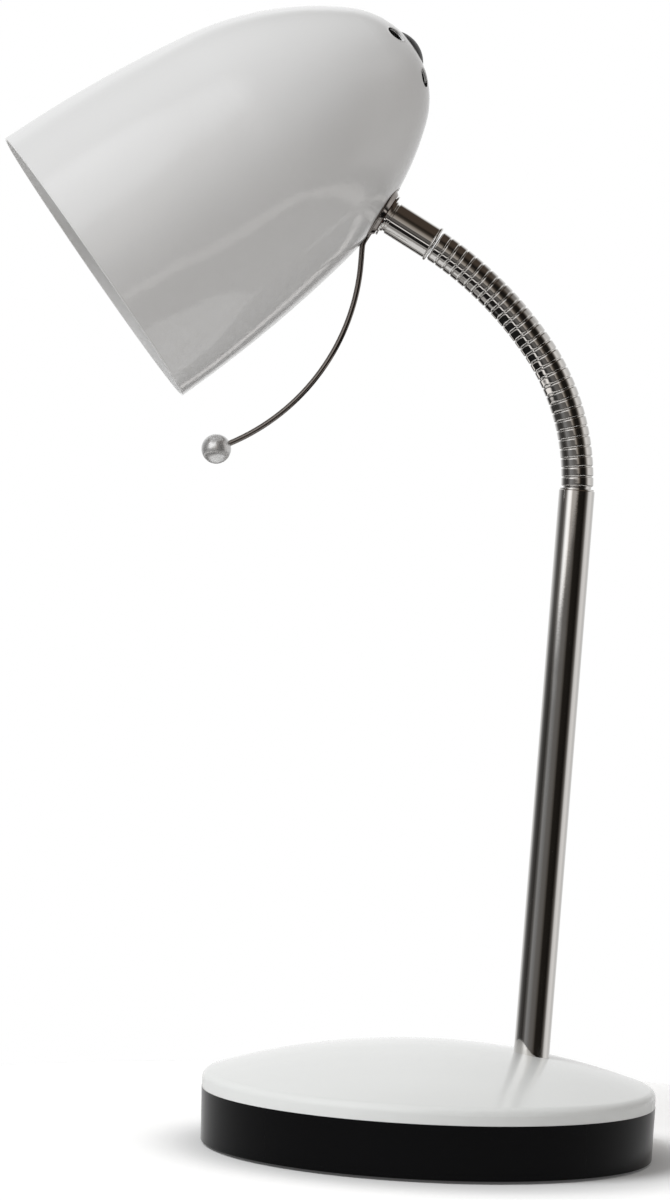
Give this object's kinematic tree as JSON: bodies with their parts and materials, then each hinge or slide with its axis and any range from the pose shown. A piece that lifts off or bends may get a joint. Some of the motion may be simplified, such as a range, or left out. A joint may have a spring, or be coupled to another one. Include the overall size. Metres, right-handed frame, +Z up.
{
  "type": "desk lamp",
  "caption": "Desk lamp with a weighted round base, chrome stem, gooseneck and white bullet-shaped shade that swivels, turned by a wire handle.",
  "frame": {"origin": "centre of the base pad's underside, on the surface the lamp stands on", "axes": "+Z up, the neck bends in the XZ plane and the shade hangs over -X, +Y away from the front"},
  "size_m": [0.2449, 0.1606, 0.4025],
  "materials": {
    "cover_white": "gloss",
    "shade_white": "gloss",
    "chrome": "polished",
    "plinth_black": "gloss",
    "rubber": "matt",
    "ballast_iron": "matt",
    "zinc": "zinc plated",
    "nickel": "satin",
    "black_plastic": "satin",
    "fibre": "matt",
    "holder_plastic": "satin",
    "brass": "plated",
    "cap_metal": "bright",
    "opal_glass": "opal"
  },
  "bodies": {
    "base": {"base_pad": "rubber", "plinth": "plinth_black", "base_cover": "cover_white", "ballast": "ballast_iron", "base_screws": "zinc", "cord_inlet": "black_plastic", "stem_stud": "zinc", "stem_washer": "zinc", "stem_nut": "zinc", "stem_tube": "chrome", "neck_root": "chrome"},
    "link_01": {"neck_link_01": "chrome"},
    "link_02": {"neck_link_02": "chrome"},
    "link_03": {"neck_link_03": "chrome"},
    "link_04": {"neck_link_04": "chrome"},
    "link_05": {"neck_link_05": "chrome"},
    "link_06": {"neck_link_06": "chrome"},
    "link_07": {"neck_link_07": "chrome"},
    "link_08": {"neck_link_08": "chrome"},
    "link_09": {"neck_link_09": "chrome"},
    "link_10": {"neck_link_10": "chrome"},
    "link_11": {"neck_link_11": "chrome"},
    "link_12": {"neck_link_12": "chrome"},
    "link_13": {"neck_link_13": "chrome"},
    "link_14": {"neck_link_14": "chrome"},
    "link_15": {"neck_link_15": "chrome"},
    "collar": {"neck_collar": "chrome", "swivel_disc": "chrome", "swivel_stud": "zinc", "spring_washer": "zinc", "swivel_nut": "zinc"},
    "head": {"fibre_washer": "fibre", "shade_cup": "chrome", "handle_wire": "chrome", "handle_ball": "nickel", "packing_washer": "black_plastic", "shade": "shade_white", "crown_plug": "black_plastic", "holder_bracket": "zinc", "holder_stud": "zinc", "holder_nut": "zinc", "holder_cap": "holder_plastic", "holder_body": "holder_plastic", "holder_sleeve": "cap_metal", "holder_contact": "brass", "bulb_cap": "cap_metal", "bulb_glass": "opal_glass"}
  },
  "joints": [
    {"name": "gooseneck_bend", "type": "hinge", "parent": "base", "child": "link_01", "pos_m": [0.04292, 0, 0.23681], "axis": [0, -1, 0], "range_deg": [-7.5, 5.6]},
    {"name": "gooseneck_side", "type": "hinge", "parent": "link_01", "child": "link_02", "pos_m": [0.04258, 0, 0.2437], "axis": [-0.9959, 0, -0.0906], "range_deg": [-5.6, 5.6]},
    {"name": "gooseneck_bend_2", "type": "hinge", "parent": "link_02", "child": "link_03", "pos_m": [0.04167, 0, 0.25054], "axis": [0, -1, 0], "range_deg": [-7.5, 5.6]},
    {"name": "gooseneck_side_2", "type": "hinge", "parent": "link_03", "child": "link_04", "pos_m": [0.04019, 0, 0.25728], "axis": [-0.9668, 0, -0.2554], "range_deg": [-5.6, 5.6]},
    {"name": "gooseneck_bend_3", "type": "hinge", "parent": "link_04", "child": "link_05", "pos_m": [0.03815, 0, 0.26387], "axis": [0, -1, 0], "range_deg": [-7.5, 5.6]},
    {"name": "gooseneck_side_3", "type": "hinge", "parent": "link_05", "child": "link_06", "pos_m": [0.03556, 0, 0.27026], "axis": [-0.9107, 0, -0.4131], "range_deg": [-5.6, 5.6]},
    {"name": "gooseneck_bend_4", "type": "hinge", "parent": "link_06", "child": "link_07", "pos_m": [0.03245, 0, 0.27642], "axis": [0, -1, 0], "range_deg": [-7.5, 5.6]},
    {"name": "gooseneck_side_4", "type": "hinge", "parent": "link_07", "child": "link_08", "pos_m": [0.02884, 0, 0.2823], "axis": [-0.829, 0, -0.5592], "range_deg": [-5.6, 5.6]},
    {"name": "gooseneck_bend_5", "type": "hinge", "parent": "link_08", "child": "link_09", "pos_m": [0.02474, 0, 0.28785], "axis": [0, -1, 0], "range_deg": [-7.5, 5.6]},
    {"name": "gooseneck_side_5", "type": "hinge", "parent": "link_09", "child": "link_10", "pos_m": [0.02036, 0, 0.29319], "axis": [-0.756, 0, -0.6545], "range_deg": [-5.6, 5.6]},
    {"name": "gooseneck_bend_6", "type": "hinge", "parent": "link_10", "child": "link_11", "pos_m": [0.01571, 0, 0.29828], "axis": [0, -1, 0], "range_deg": [-7.5, 5.6]},
    {"name": "gooseneck_side_6", "type": "hinge", "parent": "link_11", "child": "link_12", "pos_m": [0.0108, 0, 0.30313], "axis": [-0.6837, 0, -0.7297], "range_deg": [-5.6, 5.6]},
    {"name": "gooseneck_bend_7", "type": "hinge", "parent": "link_12", "child": "link_13", "pos_m": [0.00564, 0, 0.30772], "axis": [0, -1, 0], "range_deg": [-7.5, 5.6]},
    {"name": "gooseneck_side_7", "type": "hinge", "parent": "link_13", "child": "link_14", "pos_m": [0.00026, 0, 0.31203], "axis": [-0.604, 0, -0.797], "range_deg": [-5.6, 5.6]},
    {"name": "gooseneck_bend_8", "type": "hinge", "parent": "link_14", "child": "link_15", "pos_m": [-0.00535, 0, 0.31605], "axis": [0, -1, 0], "range_deg": [-7.5, 5.6]},
    {"name": "gooseneck_side_8", "type": "hinge", "parent": "link_15", "child": "collar", "pos_m": [-0.01116, 0, 0.31977], "axis": [-0.5177, 0, -0.8556], "range_deg": [-5.6, 5.6]},
    {"name": "shade_swivel", "type": "hinge", "parent": "collar", "child": "head", "pos_m": [-0.03127, 0, 0.33124], "axis": [0.8688, 0, -0.4952], "range_deg": [-120, 120]}
  ],
  "couplings": [
    {"joint": "gooseneck_bend_2", "follows": "gooseneck_bend", "ratio": 1},
    {"joint": "gooseneck_side_2", "follows": "gooseneck_side", "ratio": 1},
    {"joint": "gooseneck_bend_3", "follows": "gooseneck_bend", "ratio": 1},
    {"joint": "gooseneck_side_3", "follows": "gooseneck_side", "ratio": 1},
    {"joint": "gooseneck_bend_4", "follows": "gooseneck_bend", "ratio": 1},
    {"joint": "gooseneck_side_4", "follows": "gooseneck_side", "ratio": 1},
    {"joint": "gooseneck_bend_5", "follows": "gooseneck_bend", "ratio": 1},
    {"joint": "gooseneck_side_5", "follows": "gooseneck_side", "ratio": 1},
    {"joint": "gooseneck_bend_6", "follows": "gooseneck_bend", "ratio": 1},
    {"joint": "gooseneck_side_6", "follows": "gooseneck_side", "ratio": 1},
    {"joint": "gooseneck_bend_7", "follows": "gooseneck_bend", "ratio": 1},
    {"joint": "gooseneck_side_7", "follows": "gooseneck_side", "ratio": 1},
    {"joint": "gooseneck_bend_8", "follows": "gooseneck_bend", "ratio": 1},
    {"joint": "gooseneck_side_8", "follows": "gooseneck_side", "ratio": 1}
  ]
}
